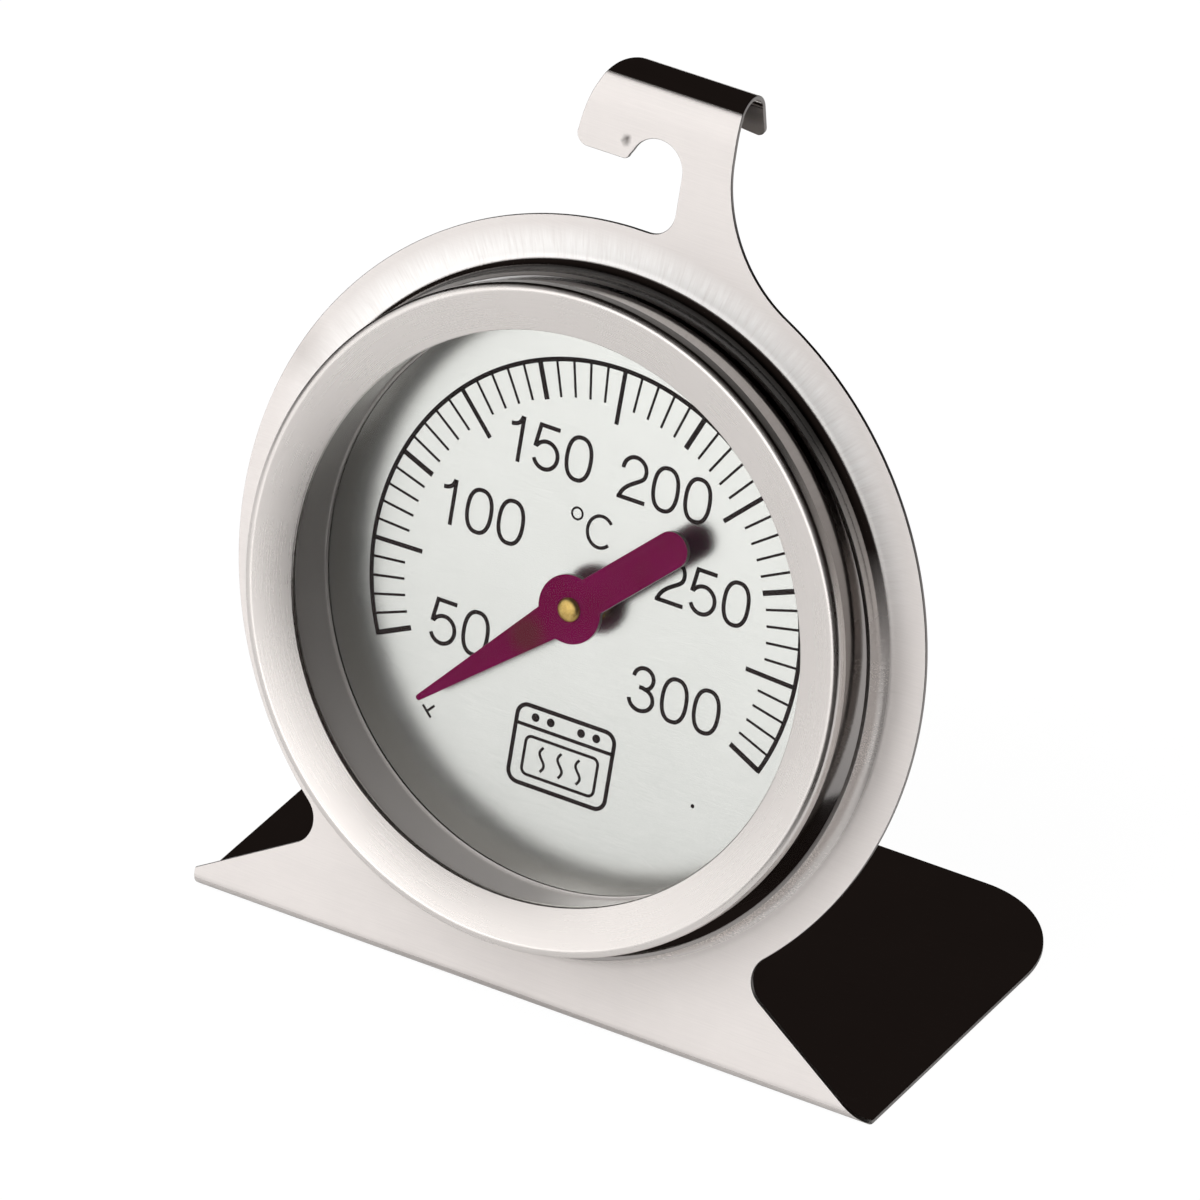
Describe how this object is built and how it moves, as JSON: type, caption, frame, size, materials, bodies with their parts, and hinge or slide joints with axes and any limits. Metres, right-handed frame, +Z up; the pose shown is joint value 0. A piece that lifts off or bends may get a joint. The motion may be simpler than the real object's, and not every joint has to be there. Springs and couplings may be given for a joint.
{
  "type": "oven thermometer",
  "caption": "Round-dial bimetal oven thermometer on a bent steel stand with a flat foot and a hook for hanging on a rack.",
  "frame": {"origin": "middle of the flat underside of the foot", "axes": "+X to the right of the dial, +Y to the back, +Z up; the dial leans back 17.1 degrees"},
  "size_m": [0.0613, 0.0362, 0.0706],
  "materials": {
    "stand_steel": "fine horizontal brushing, warm grey",
    "case_steel": "drawn and brushed round its wall",
    "bezel_steel": "satin, brushed round the ring",
    "lens_glass": "clear flat glass",
    "ring_steel": "plain rolled steel",
    "dial_aluminium": "matt brushed aluminium with dark printed scale",
    "movement_steel": "plain steel",
    "brass": "turned brass",
    "bimetal_strip": "rolled bimetal strip, slightly heat tinted",
    "pointer_paint": "satin plum paint, bare cut edge"
  },
  "bodies": {
    "stand_and_case": {"stand_plate": "stand_steel", "case_cup": "case_steel", "bezel_ring": "bezel_steel", "glass_lens": "lens_glass", "spacer_ring": "ring_steel", "dial_plate": "dial_aluminium", "dial_support_ring": "ring_steel", "movement_bridge": "movement_steel", "bridge_rivet_left": "movement_steel", "bridge_rivet_right": "movement_steel", "front_bearing": "brass", "rear_bearing": "brass", "bimetal_coil": "bimetal_strip", "coil_post": "movement_steel"},
    "pointer_assembly": {"pointer": "pointer_paint", "pointer_boss": "brass", "arbor": "movement_steel", "coil_collet": "brass", "thrust_washer": "movement_steel"}
  },
  "joints": [
    {"name": "pointer_turn", "type": "hinge", "parent": "stand_and_case", "child": "pointer_assembly", "pos_m": [0, -0.00748, 0.03087], "axis": [0, 0.9558, -0.294], "range_deg": [-45, 260], "stiffness_Nm_per_rad": 0.0024, "deforming": ["bimetal_coil"]}
  ]
}
